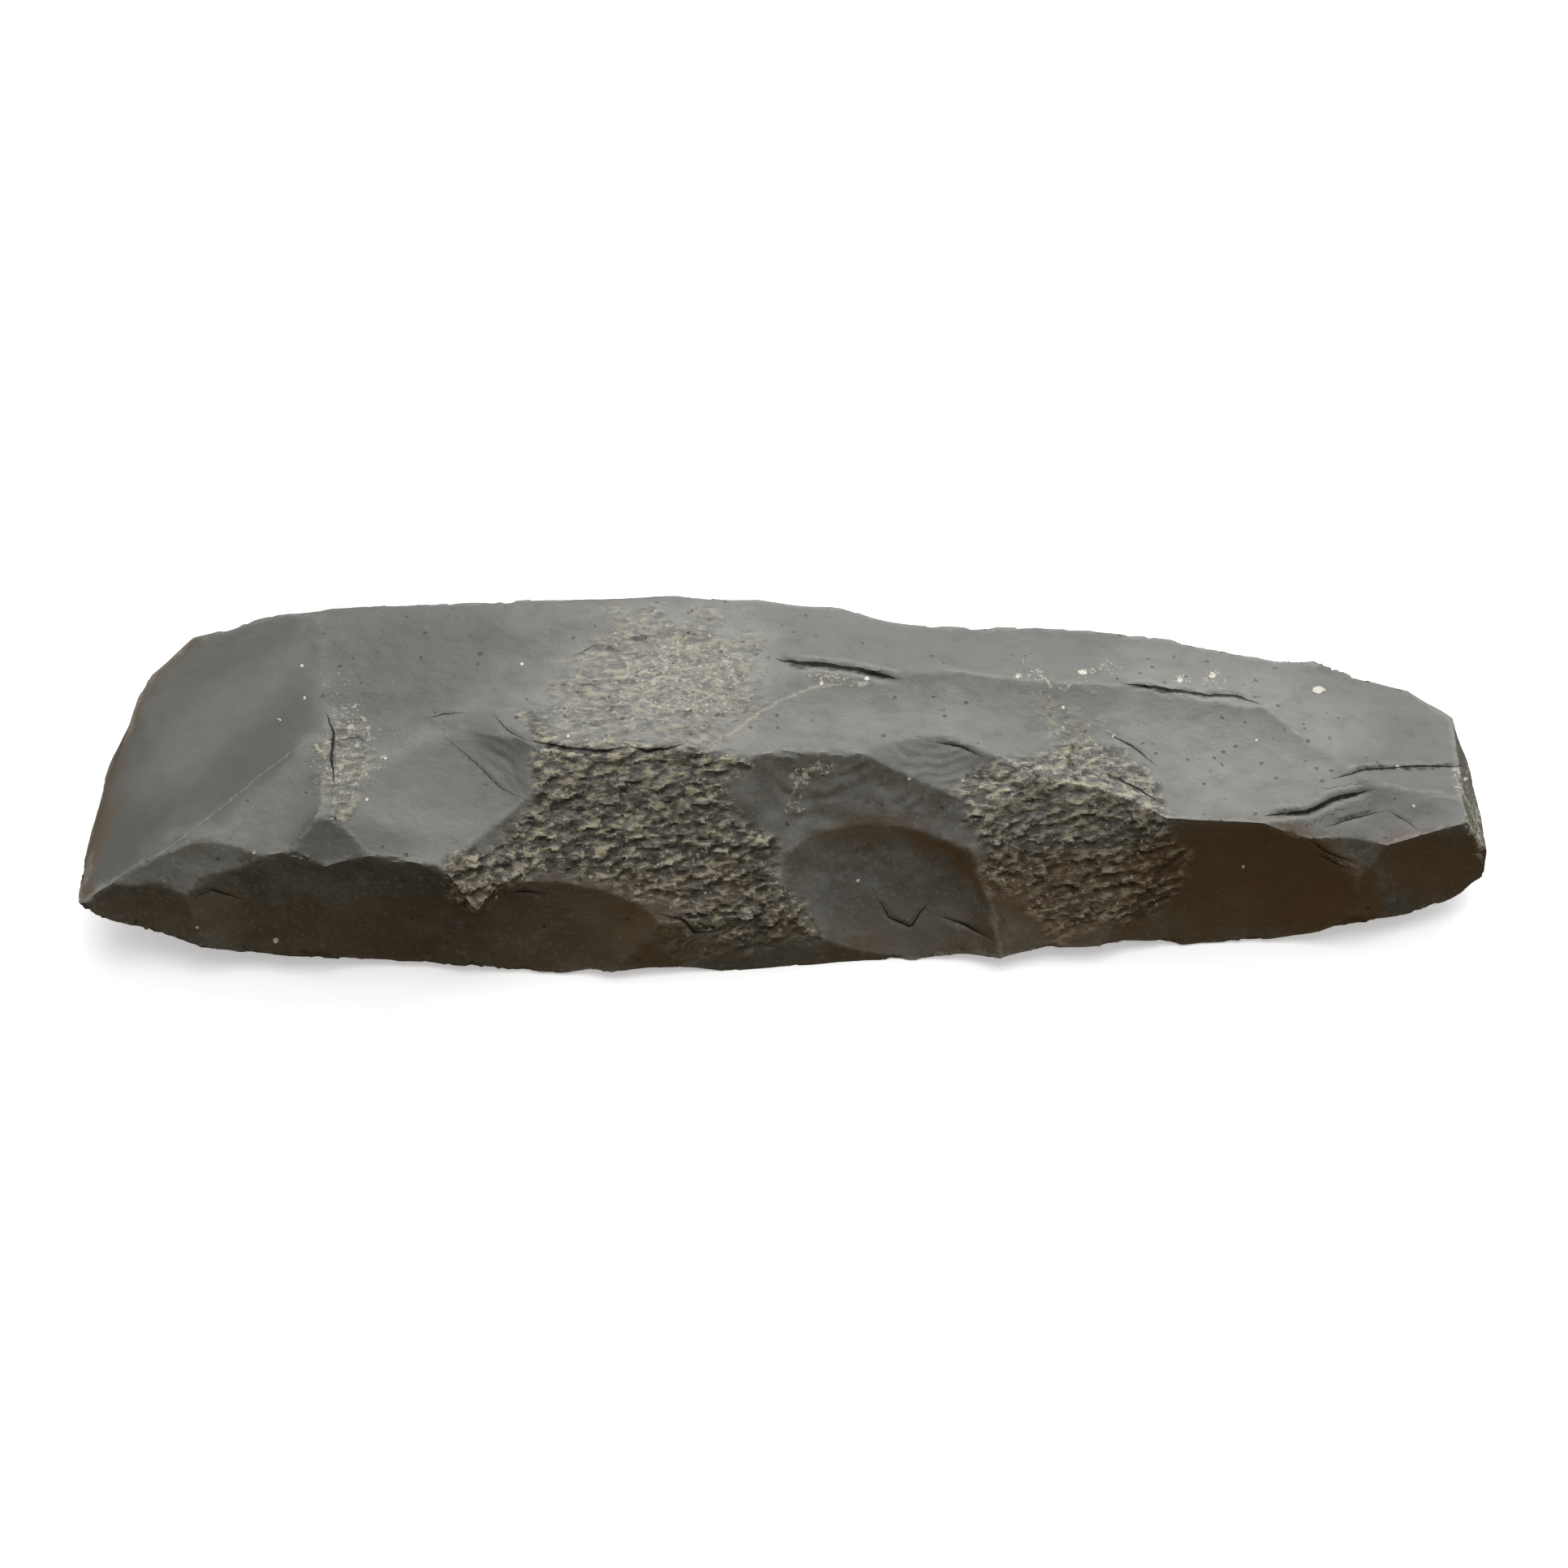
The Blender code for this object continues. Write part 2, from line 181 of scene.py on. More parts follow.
CRACKS = (
    Crack("crown split", 0.50, 0.55, 0.45, ((958, 812), (985, 818), (1012, 819), (1062, 826), (1108, 838))),
    Crack("tail split", 0.34, 0.34, 0.30, ((1385, 842), (1440, 850), (1490, 857), (1522, 857), (1552, 868))),
    Crack("tail tick", 0.20, 0.22, 0.10, ((1366, 904), (1392, 918), (1420, 940))),
    Crack("tail tick low", 0.20, 0.22, 0.10, ((1362, 952), (1395, 968), (1430, 990))),
    Crack("poll split", 0.46, 0.48, 0.40, ((1558, 1006), (1612, 1001), (1645, 984), (1690, 974))),
    Crack("poll hairline", 0.20, 0.30, 0.25, ((1646, 958), (1680, 949), (1730, 945), (1806, 944))),
    Crack("poll tick", 0.20, 0.20, 0.12, ((1636, 1018), (1662, 1010), (1702, 1000))),
    Crack("poll tick end", 0.18, 0.18, 0.10, ((1712, 1000), (1728, 1008), (1744, 1020))),
    Crack("chin seam", 0.34, 0.22, 0.03, ((403, 880), (411, 905), (407, 935), (412, 965))),
    Crack("chin seam right", 0.18, 0.14, 0.03, ((422, 912), (442, 908), (450, 914))),
    Crack("belly slit", 0.36, 0.40, 0.15, ((772, 918), (798, 926), (822, 922), (842, 916))),
    Crack("belly lip", 0.34, 0.34, 0.10, ((655, 914), (700, 922), (742, 926), (776, 920))),
    Crack("shoulder tick", 0.16, 0.14, 0.04, ((530, 884), (548, 880), (566, 879))),
    Crack("shoulder wall", 0.07, 0.10, 0.10, ((558, 916), (590, 944), (618, 972), (644, 984))),
    Crack("brow tick", 0.15, 0.16, 0.06, ((612, 884), (628, 902), (648, 912))),
    Crack("arch foot", 0.22, 0.24, 0.10, ((1082, 1108), (1096, 1130), (1122, 1142), (1142, 1114))),
    Crack("arch foot right", 0.22, 0.24, 0.12, ((1160, 1128), (1190, 1140), (1222, 1158))),
    Crack("foot step", 0.24, 0.26, 0.14, ((812, 1126), (842, 1134), (856, 1150), (886, 1146))),
    Crack("foot step low", 0.22, 0.24, 0.12, ((620, 1100), (650, 1098), (676, 1102))),
    Crack("lip tick", 0.20, 0.22, 0.10, ((1150, 914), (1186, 920), (1212, 934))),
    Crack("lip tick low", 0.18, 0.20, 0.10, ((1258, 940), (1282, 954))),
    Crack("crown tick", 0.16, 0.18, 0.06, ((712, 806), (724, 800), (732, 796))),
    Crack("flank tick", 0.20, 0.20, 0.10, ((236, 1108), (262, 1096), (300, 1108))),
    Crack("poll ripple step", 0.22, 0.24, 0.12, ((1612, 1034), (1640, 1052), (1668, 1062))),
    Crack("poll ripple step low", 0.20, 0.20, 0.10, ((1622, 1052), (1646, 1064), (1664, 1070))),
)
RIPPLES = (
    Ripple("crown", (880, 800), 44, 0.020, ((930, 925), (1000, 845), (1200, 850), (1200, 900), (1060, 925))),
    Ripple("lip", (1150, 860), 10, 0.075, ((1080, 905), (1190, 912), (1300, 960), (1200, 1000), (1110, 945))),
    Ripple(
        "arch upper",
        (1010, 900),
        26,
        0.080,
        ((930, 930), (1080, 925), (1190, 990), (1160, 1030), (985, 1030)),
    ),
    Ripple("arch lower", (1080, 980), 44, 0.035, ((985, 1035), (1110, 1015), (1235, 1080), (1100, 1165))),
    Ripple(
        "tail",
        (1300, 800),
        62,
        0.022,
        ((1330, 880), (1500, 840), (1640, 900), (1600, 1000), (1430, 1000)),
    ),
    Ripple(
        "poll",
        (1860, 900),
        30,
        0.028,
        ((1620, 985), (1660, 962), (1806, 950), (1815, 1030), (1715, 1030)),
    ),
    Ripple("poll ripple", (1700, 1010), 13, 0.07, ((1600, 1025), (1660, 1036), (1700, 1028), (1672, 1082))),
    Ripple("hollow", (1560, 990), 44, 0.025, ((1450, 1040), (1560, 1015), (1680, 1090), (1560, 1150))),
    Ripple("shoulder wall", (500, 1060), 14, 0.070, ((548, 890), (620, 890), (650, 960), (648, 1000))),
    Ripple("bit flank", (320, 1020), 34, 0.030, ((240, 1050), (350, 1056), (400, 1090), (340, 1170))),
    Ripple(
        "far crown",
        (1060, 700),
        34,
        0.025,
        ((950, 745), (1100, 760), (1150, 800), (1105, 830), (970, 812)),
    ),
    Ripple(
        "far tail",
        (1500, 740),
        38,
        0.025,
        ((1180, 775), (1430, 790), (1560, 860), (1400, 840), (1180, 830)),
    ),
)
CRESTS = (
    Crest("crown", 0.40, ((872, 920), (905, 900), (938, 876), (968, 860), (1000, 846), (1050, 842))),
    Crest("arch crust", 0.62, ((974, 982), (984, 962), (1000, 946), (1022, 944))),
    Crest("bevel ridge", 0.14, ((166, 1075), (225, 1032), (262, 1004), (322, 955), (386, 906))),
)
CRUSTED = (
    Patch("chin", 0.62, ((396, 865), (430, 870), (486, 905), (450, 965), (424, 990), (396, 990))),
    Patch("chin top", 0.40, ((388, 800), (430, 820), (436, 870), (400, 868))),
    Patch("crown", 0.66, ((740, 880), (770, 800), (830, 780), (900, 790), (925, 840), (890, 905))),
    Patch("crown top", 0.30, ((700, 748), (950, 745), (960, 812), (760, 800))),
    Patch("split lip", 0.95, ((1000, 828), (1060, 832), (1086, 838), (1070, 846), (1000, 840))),
    Patch("tail band", 0.78, ((1230, 822), (1300, 826), (1372, 818), (1376, 838), (1240, 842))),
    Patch("tail crystals", 0.75, ((1436, 828), (1510, 822), (1530, 842), (1440, 846))),
    Patch("waist crown", 0.42, ((1262, 850), (1330, 850), (1380, 930), (1330, 930), (1270, 890))),
    Patch("poll notch", 0.80, ((1786, 932), (1806, 930), (1816, 965), (1808, 985), (1792, 958))),
    Patch("waist speck", 0.60, ((1214, 1042), (1244, 1024), (1250, 1034), (1222, 1056))),
    Patch("poll band", 0.75, ((1800, 972), (1822, 950), (1840, 1062), (1820, 1050)), 6),
    Patch(
        "arch crust",
        0.75,
        ((960, 998), (976, 956), (998, 936), (1036, 936), (1030, 952), (1004, 956), (988, 975), (980, 1002)),
        5,
    ),
)
# Paler patches: partly bleached skin, as on the belly crown, partly painted sheen, as on the bevel band.
BLEACHED_AND_SHEEN_PATCHES = (
    Patch(
        "belly crown",
        0.75,
        ((640, 870), (700, 800), (760, 752), (900, 745), (960, 790), (965, 850), (900, 925), (700, 910)),
    ),
    Patch("bevel band", 0.40, ((150, 975), (250, 860), (385, 790), (392, 826), (290, 905), (185, 1000))),
    Patch("tail", 0.55, ((1380, 810), (1570, 830), (1700, 880), (1650, 960), (1500, 1000), (1380, 900))),
    Patch("waist", 0.45, ((1190, 960), (1300, 915), (1430, 960), (1440, 1010), (1300, 1040), (1200, 1010))),
    Patch("crown scar", 0.32, ((960, 862), (1150, 848), (1230, 880), (1200, 905), (1060, 925), (930, 920))),
    Patch("belly brow", 0.35, ((650, 900), (900, 925), (940, 960), (860, 1000), (640, 1000))),
)
# Patches of painted shade: the skin darkened where less light falls on it.
PAINTED_SHADE_PATCHES = (
    Patch("top left", 0.90, ((396, 748), (620, 745), (650, 800), (560, 880), (440, 905), (396, 860))),
    Patch("bevel", 0.60, ((100, 1120), (130, 960), (220, 780), (380, 750), (392, 905), (225, 1032))),
    Patch("bevel foot", 1.00, ((100, 1115), (130, 960), (165, 870), (225, 960), (215, 1030), (165, 1076))),
    Patch("poll", 0.35, ((1690, 850), (1790, 890), (1812, 1030), (1650, 1010), (1650, 900))),
    Patch("shoulder wall", 0.85, ((545, 892), (600, 888), (640, 905), (655, 985), (640, 990), (590, 940))),
    Patch("top sheen", 0.35, ((600, 745), (770, 745), (720, 880), (600, 890))),
    Patch("far band", 0.35, ((930, 750), (1400, 780), (1400, 815), (1120, 820), (940, 800))),
    Patch("lip facet", 1.0, ((380, 1022), (402, 1003), (470, 1008), (500, 1030), (417, 1078), (350, 1062))),
)
# Patches painted brown: brown bounce light from below, low on the flanks and at the bit's rim, and shade
# under the arch's overhang.
BROWN_BOUNCE_PATCHES = (
    Patch(
        "hollow",
        1.0,
        ((1380, 1060), (1480, 1010), (1600, 1020), (1690, 1080), (1710, 1140), (1380, 1175)),
    ),
    Patch(
        "arch band",
        0.9,
        ((985, 1034), (1050, 1008), (1120, 1008), (1240, 1070), (1225, 1086), (1110, 1030)),
    ),
    Patch("belly foot", 0.75, ((560, 1070), (700, 1068), (810, 1110), (860, 1150), (840, 1200), (560, 1200))),
    Patch("bit flank", 0.45, ((103, 1110), (240, 1090), (420, 1120), (560, 1100), (560, 1200), (250, 1200))),
    Patch(
        "bit rim",
        0.8,
        ((70, 1120), (88, 990), (118, 900), (155, 832), (192, 784), (250, 756), (254, 782), (206, 828))
        + ((163, 905), (134, 998), (116, 1100)),
        8,
    ),
    Patch("waist foot", 0.75, ((1200, 1050), (1450, 1040), (1460, 1140), (1300, 1165), (1225, 1120))),
    Patch("belly low", 0.45, ((545, 1060), (900, 1060), (1010, 1150), (900, 1195), (545, 1190))),
    Patch("poll flank", 0.7, ((1690, 1060), (1730, 1025), (1830, 1030), (1835, 1075), (1740, 1130))),
    Patch("arch foot", 0.4, ((1180, 1100), (1300, 1150), (1300, 1180), (1180, 1180))),
)
SPECKS = (
    Speck("crown white", (643, 818), 2.6),
    Speck("crown pale", (700, 907), 2.6),
    Speck("arch white", (1057, 1085), 2.4),
    Speck("arch pale", (1120, 960), 2.4),
    Speck("arch pale right", (1186, 962), 2.4),
    Speck("tail white", (1372, 907), 2.6),
    Speck("tail pale", (1310, 872), 2.8),
    Speck("bit gold", (340, 1159), 3.8),
    Speck("bit gold low", (243, 1143), 2.4),
    Speck("bevel pale", (375, 860), 2.2),
    Speck("bevel pale top", (372, 820), 2.6),
    Speck("bevel pale low", (345, 887), 2.0),
    Speck("shoulder pale", (475, 934), 2.4),
    Speck("shoulder pale low", (452, 985), 2.4),
    Speck("tail crystal", (1454, 838), 3.6, 1.3),
    Speck("tail crystal right", (1494, 832), 4.2, 1.3),
    Speck("far crystal", (1624, 850), 5.4, 1.7),
    Speck("band crystal", (1334, 828), 4.4, 1.6),
    Speck("band crystal left", (1254, 833), 3.2, 1.4),
    Speck("split crystal", (1068, 836), 3.0, 1.5),
    Speck("split crystal left", (1012, 842), 3.0),
    Speck("poll crystal", (1806, 960), 3.2),
    Speck("poll crystal top", (1810, 944), 2.6),
    Speck("tail dust", (1548, 912), 2.4),
    Speck("poll dust", (1722, 945), 2.8),
    Speck("poll dust low", (1742, 993), 2.2),
    Speck("flank dust", (1532, 1068), 2.2),
    Speck("lip pale", (313, 1051), 2.6),
)

# Each kind of patch, with how softly it fades at its border, in pixels.
PATCHES = {
    "ground": (5, (GROUND_BEVEL,)),
    "pecked": (14, PECKED),
    "smooth": (8, SMOOTH),
    "crusted": (10, CRUSTED),
    "stained": (16, BROWN_BOUNCE_PATCHES),
    "pale": (34, BLEACHED_AND_SHEEN_PATCHES),
    "painted_shade": (24, PAINTED_SHADE_PATCHES),
}


# Arithmetic on many points at once.


def lattice(cell, seed):
    """A repeatable number from 0 to 1 for each whole-number cell."""
    c = cell.astype(np.int64).astype(np.uint32)
    h = c[:, 0] * np.uint32(374761393) + c[:, 1] * np.uint32(668265263)
    h = h + c[:, 2] * np.uint32(2246822519) + np.uint32((seed * 3266489917) % 4294967296)
    for shift, factor in ((15, 2246822519), (13, 3266489917)):
        h = (h ^ (h >> np.uint32(shift))) * np.uint32(factor)
    return (h ^ (h >> np.uint32(16))) / 4294967295.0


def cloud(points, size, seed):
    """Smooth noise from -1 to 1 that changes over this distance."""
    q = points / size
    cell = np.floor(q)
    f = q - cell
    f = f * f * (3 - 2 * f)
    total = np.zeros(len(points))
    for corner in range(8):
        step = np.array([corner & 1, corner >> 1 & 1, corner >> 2 & 1])
        share = np.prod(np.where(step, f, 1 - f), axis=1)
        total += share * lattice(cell + step, seed)
    return 2 * total - 1


def clouds(points, size, seed, octaves=4, gain=0.5):
    """Noise of several sizes, each half the one before."""
    total = np.zeros(len(points))
    for i in range(octaves):
        total += cloud(points, size / 2**i, seed + i) * gain**i
    return total


def cells(points, size, seed):
    """Scattered seeds, one to a cell: the way from the nearest to each point, and its chance.

    Also how much farther off the next seed is, which falls to 0 on the border between two.
    Ways are in cell widths.
    """
    q = points / size
    home = np.floor(q)
    near = np.full(len(points), 9.0)
    following = np.full(len(points), 9.0)
    way = np.zeros((len(points), 3))
    chance = np.zeros(len(points))
    for step in range(27):
        cell = home + (step % 3 - 1, step // 3 % 3 - 1, step // 9 - 1)
        spot = np.stack([lattice(cell, seed + k) for k in (0, 1, 2)], axis=1)
        offset = q - cell - spot
        gap = np.sqrt((offset**2).sum(axis=1))
        nearer = gap < near
        following = np.where(nearer, near, np.minimum(following, gap))
        near = np.where(nearer, gap, near)
        way[nearer] = offset[nearer]
        chance[nearer] = lattice(cell[nearer], seed + 3)
    return way, chance, following - near


def ease(values, low, high):
    """0 below low, 1 above high, and a smooth rise between."""
    t = np.clip((values - low) / (high - low), 0, 1)
    return t * t * (3 - 2 * t)


def along_path(u, v, path):
    """Pixels from each point to a path, pixels to its side, and pixels to its nearer end.

    The side is positive above the path, which is taken as going on straight past its ends.
    The way to the end is negative past it.
    """
    gap = np.full(len(u), 1e9)
    side = np.zeros(len(u))
    travel = np.zeros(len(u))
    gone = 0.0
    last = len(path) - 2
    rightward = 1 if path[-1][0] > path[0][0] else -1
    for i, ((u0, v0), (u1, v1)) in enumerate(zip(path, path[1:])):
        du, dv = u1 - u0, v1 - v0
        long = math.hypot(du, dv)
        t = ((u - u0) * du + (v - v0) * dv) / long
        held = np.clip(t, 0, long)
        away = np.hypot(u - u0 - held * du / long, v - v0 - held * dv / long)
        offset = (dv * (u - u0) - du * (v - v0)) / long * rightward
        free = np.clip(t, -np.inf if i == 0 else 0, np.inf if i == last else long)
        nearer = away < gap
        gap = np.where(nearer, away, gap)
        side = np.where(nearer, offset, side)
        travel = np.where(nearer, gone + free, travel)
        gone += long
    return gap, side, np.minimum(travel, gone - travel)


def patch_depth(u, v, corners):
    """Pixels from each point to a patch's border, positive inside it."""
    gap, _, _ = along_path(u, v, corners + corners[:1])
    inside = np.zeros(len(u), bool)
    for (u0, v0), (u1, v1) in zip(corners, corners[1:] + corners[:1]):
        if v0 != v1:
            crossing = (v > min(v0, v1)) & (v <= max(v0, v1))
            inside ^= crossing & (u < u0 + (v - v0) * (u1 - u0) / (v1 - v0))
    return np.where(inside, gap, -gap)


# The photograph's camera.


def camera_axes():
    """The camera's right, up and backward directions."""
    a, e = CAMERA_TURN, CAMERA_HEIGHT
    right = Vector((math.cos(a), math.sin(a), 0))
    up = Vector((-math.sin(a) * math.sin(e), math.cos(a) * math.sin(e), math.cos(e)))
    return right, up, right.cross(up)


def in_photo(points):
    """Where points are in the photograph, in pixels."""
    right, up, back = (np.array(axis) for axis in camera_axes())
    q = points - np.array(AIM)
    depth = CAMERA_DISTANCE - q @ back
    half = FRAME_PIXELS / 2
    return half + PIXELS_PER_UNIT * (q @ right) / depth, half - PIXELS_PER_UNIT * (q @ up) / depth


def shown_in_photo(points, normals):
    """1 where a surface faces the photograph's camera, 0 where it faces away."""
    eye = np.array(AIM) + np.array(camera_axes()[2]) * CAMERA_DISTANCE
    toward = eye - points
    toward /= np.linalg.norm(toward, axis=1)[:, None]
    return ease((normals * toward).sum(axis=1), 0.02, 0.20)


# Meshes as arrays.


def mesh_arrays(mesh):
    """A mesh's points, normals, and edges."""
    points = np.empty(len(mesh.vertices) * 3)
    mesh.vertices.foreach_get("co", points)
    normals = np.empty(len(mesh.vertices) * 3, np.float32)
    mesh.vertex_normals.foreach_get("vector", normals)
    edges = np.empty(len(mesh.edges) * 2, np.int32)
    mesh.edges.foreach_get("vertices", edges)
    return points.reshape(-1, 3), normals.reshape(-1, 3).astype(float), edges.reshape(-1, 2)


def put_points(mesh, points):
    """Moves a mesh's points to these places."""
    mesh.vertices.foreach_set("co", points.astype(np.float32).ravel())
    mesh.update()


def gathered(index, values, count):
    """Adds up rows of values by index."""
    return np.stack([np.bincount(index, values[:, k], count) for k in range(values.shape[1])], axis=1)


def spread(values, edges, rounds):
    """Averages values on points with their neighbours', over and over."""
    count = len(values)
    a, b = edges[:, 0], edges[:, 1]
    both = np.bincount(a, minlength=count) + np.bincount(b, minlength=count)
    for _ in range(rounds):
        total = np.bincount(a, values[b], count) + np.bincount(b, values[a], count)
        values = 0.5 * values + 0.5 * total / np.maximum(both, 1)
    return values


def bulge(points, normals, edges, rounds):
    """How far each point stands out of its surroundings: positive on ridges, negative in hollows."""
    smooth = np.stack([spread(points[:, k], edges, rounds) for k in range(3)], axis=1)
    return ((points - smooth) * normals).sum(axis=1)


def smooth_facets(mesh, solid, keep):
    """Smooths slight bends away and keeps sharp ridges.

    Each face starts with the direction of the solid's nearest face. It is averaged with its
    neighbours', which count less the more they differ from it, and the points then follow
    the faces. Keep is about the bend, in radians, above which an edge counts as a ridge.
    """
    count = len(mesh.polygons)
    points, _, _ = mesh_arrays(mesh)
    sizes = np.empty(count, np.int32)
    mesh.polygons.foreach_get("loop_total", sizes)
    corner_point = np.empty(len(mesh.loops), np.int32)
    mesh.loops.foreach_get("vertex_index", corner_point)
    corner_edge = np.empty(len(mesh.loops), np.int32)
    mesh.loops.foreach_get("edge_index", corner_edge)
    corner_face = np.repeat(np.arange(count), sizes)
    order = np.argsort(corner_edge, kind="stable")
    edge_sorted, face_sorted = corner_edge[order], corner_face[order]
    paired = np.flatnonzero(edge_sorted[:-1] == edge_sorted[1:])
    one, other = face_sorted[paired], face_sorted[paired + 1]
    tree = BVHTree.FromPolygons(
        [corner.co for corner in solid.vertices], [tuple(face.vertices) for face in solid.polygons]
    )
    centres = gathered(corner_face, points[corner_point], count) / sizes[:, None]
    normal = np.array([tuple(tree.find_nearest(centre)[1]) for centre in centres.tolist()])
    for _ in range(SMOOTHING_TURNS):
        bend = ((normal[one] - normal[other]) ** 2).sum(axis=1)
        weight = np.exp(-bend / (2 * keep * keep))[:, None]
        total = normal + gathered(one, normal[other] * weight, count)
        total += gathered(other, normal[one] * weight, count)
        normal = total / np.linalg.norm(total, axis=1)[:, None]
    around = np.bincount(corner_point, minlength=len(points))[:, None]
    for _ in range(SMOOTHING_TURNS):
        middle = gathered(corner_face, points[corner_point], count) / sizes[:, None]
        facing = normal[corner_face]
        lift = ((middle[corner_face] - points[corner_point]) * facing).sum(axis=1)[:, None] * facing
        points = points + gathered(corner_point, lift, len(points)) / around
    put_points(mesh, points)


def with_modifier(piece, kind, **settings):
    """Replaces the piece's mesh with what a modifier makes of it."""
    work = piece.modifiers.new("work", kind)
    for name, value in settings.items():
        setattr(work, name, value)
    graph = bpy.context.evaluated_depsgraph_get()
    mesh = bpy.data.meshes.new_from_object(piece.evaluated_get(graph), depsgraph=graph)
    piece.modifiers.clear()
    old = piece.data
    piece.data = mesh
    bpy.data.meshes.remove(old)


# The marks on the stone.


def patch_marks(points, u, v, shown):
    """How strongly each point is ground, pecked, smooth and crusted, and how strongly brown bounce light,
    paler skin with painted sheen, and painted shade are painted on it.
    """
    u = u + clouds(points, 5 * MM, 11, 4) * BORDER_WANDER
    v = v + clouds(points, 5 * MM, 21, 4) * BORDER_WANDER
    found = {}
    for kind, (soft, patches) in PATCHES.items():
        total = np.zeros(len(u))
        for patch in patches:
            depth = patch_depth(u, v, patch.corners)
            reach = patch.soft or soft
            total = np.maximum(total, patch.strength * ease(depth, -reach, reach))
        found[kind] = total * shown
    patchy = ease(clouds(points, 14 * MM, 31, 3), 0.10, 0.45)
    pecked = np.maximum(found["pecked"], (1 - shown) * patchy * 0.8)
    found["pecked"] = pecked * ease(pecked * 1.8 + clouds(points, 2.6 * MM, 35, 3) * 0.5, 0.25, 0.70)
    dusty = ease(clouds(points, 9 * MM, 41, 3), 0.25, 0.6)
    found["crusted"] = np.maximum(found["crusted"], (1 - shown) * dusty * 0.4)
    # Brown bounce light is also painted in towards the bottom on every side.
    low = ease(-points[:, 2], -9 * MM, -1 * MM) * 0.6
    damp = ease(clouds(points, 16 * MM, 51, 3), -0.5, 0.5)
    found["stained"] = np.maximum(found["stained"], low * damp)
    return found


def line_marks(u, v, hidden, kind, lines):
    """How far off the nearest line each point is, and half the line's width there, in millimetres."""
    nearest = np.full(len(u), 20.0)
    off = np.full(len(u), 6.0)
    room = np.full(len(u), -6.0)
    for line in lines:
        gap, side, to_end = along_path(u, v, line.path)
        half = line.wide / 2 * np.minimum(to_end / 22, 0.25 + 0.75 * ease(to_end, 0, 40))
        nearer = (gap < nearest) & ~hidden
        nearest[nearer] = gap[nearer]
        off[nearer] = side[nearer] / PIXELS_PER_MM
        room[nearer] = half[nearer]
    return {kind: off, kind + "_room": room}


def speck_marks(u, v, hidden):
    """The way from the nearest speck to each point, across and down, in the speck's own sizes."""
    gap = np.full(len(u), 6.0)
    across = np.zeros(len(u))
    down = np.zeros(len(u))
    for speck in SPECKS:
        du = (u - speck.place[0]) / speck.size / speck.stretch
        dv = (v - speck.place[1]) / speck.size
        away = np.hypot(du, dv)
        nearer = (away < gap) & ~hidden
        gap[nearer] = away[nearer]
        across[nearer] = du[nearer]
        down[nearer] = dv[nearer]
    return {"speck": gap, "speck_u": across, "speck_v": down}


def marks(points, normals):
    """Where the stone is ground, pecked, cracked and crusted, where brown bounce light and shade are painted
    on it, and so on, point by point.
    """
    u, v = in_photo(points)
    shown = shown_in_photo(points, normals)
    hidden = shown < 0.5
    found = {"shown": shown, **patch_marks(points, u, v, shown)}
    for kind, lines in (("crack", CRACKS), ("crest", CRESTS)):
        found.update(line_marks(u, v, hidden, kind, lines))
    found.update(speck_marks(u, v, hidden))
    return found


# The stone's relief, in metres unless it says otherwise.


def slow_waves(points, at, look):
    """The waves and small scars of the flaked surface."""
    calm = 1 - 0.75 * at["ground"]
    out = clouds(points, 9 * MM, 61, 3) * look.undulation * calm
    out += clouds(points, 2.2 * MM, 71, 3) * look.undulation * 0.30 * calm * (1 - 0.5 * at["smooth"])
    for size, seed in ((11 * MM, 161), (6 * MM, 163)):
        hollow = np.abs(cloud(points, size, seed) + 0.25 * cloud(points, size / 3, seed + 1))
        out -= (hollow - 0.3) * size * look.flaking * (1 - at["ground"]) * (1 - 0.6 * at["smooth"])
    return out


def pecked_steps(points, ridge):
    """The little slanting steps that pecking leaves, as shares of its depth, lower on ridges."""
    cosine, sine = math.cos(STEP_SLANT), math.sin(STEP_SLANT)
    along = points[:, 0] * cosine + points[:, 2] * sine
    across = points[:, 2] * cosine - points[:, 0] * sine
    jumbled = np.stack([along / STEP_STRETCH, points[:, 1], across], axis=1)
    jolts = [clouds(points, 1.6 * MM, 140 + k, 2) for k in range(3)]
    jumbled = jumbled + 0.6 * MM * np.stack(jolts, axis=1)
    way, chance, border = cells(jumbled, 1.25 * MM, 81)
    steps = (chance - 0.5) * 0.9 + way @ STEP_FALL * (0.5 + chance) * 1.3
    steps *= ease(border, 0.0, 0.10) * 0.8 + 0.2
    way, chance, border = cells(jumbled, 0.9 * MM, 91)
    steps += (chance - 0.5) * 0.35 + way @ STEP_FALL * 0.35
    steps -= (1 - ease(border, 0.0, 0.12)) * 0.25
    steps += clouds(points, 4.5 * MM, 101, 3) * 0.5
    return steps - np.maximum(steps, 0) * 0.85 * ease(ridge, 0.02 * MM, 0.12 * MM)


def ripple_waves(points, u, v):
    """The ripples that run through flake scars from where each was struck."""
    out = np.zeros(len(u))
    warp = clouds(points, 7 * MM, 111, 3)
    patchy = 0.35 + 0.65 * ease(clouds(points, 5 * MM, 115, 2), -0.3, 0.5)
    for ripple in RIPPLES:
        depth = patch_depth(u, v, ripple.corners)
        away = np.hypot(u - ripple.centre[0], v - ripple.centre[1])
        away = away + warp * ripple.spacing * 1.1
        wave = np.sin(2 * math.pi * away / ripple.spacing) * patchy
        out += wave * ripple.deep * MM * ease(depth, -4, 14)
    return out


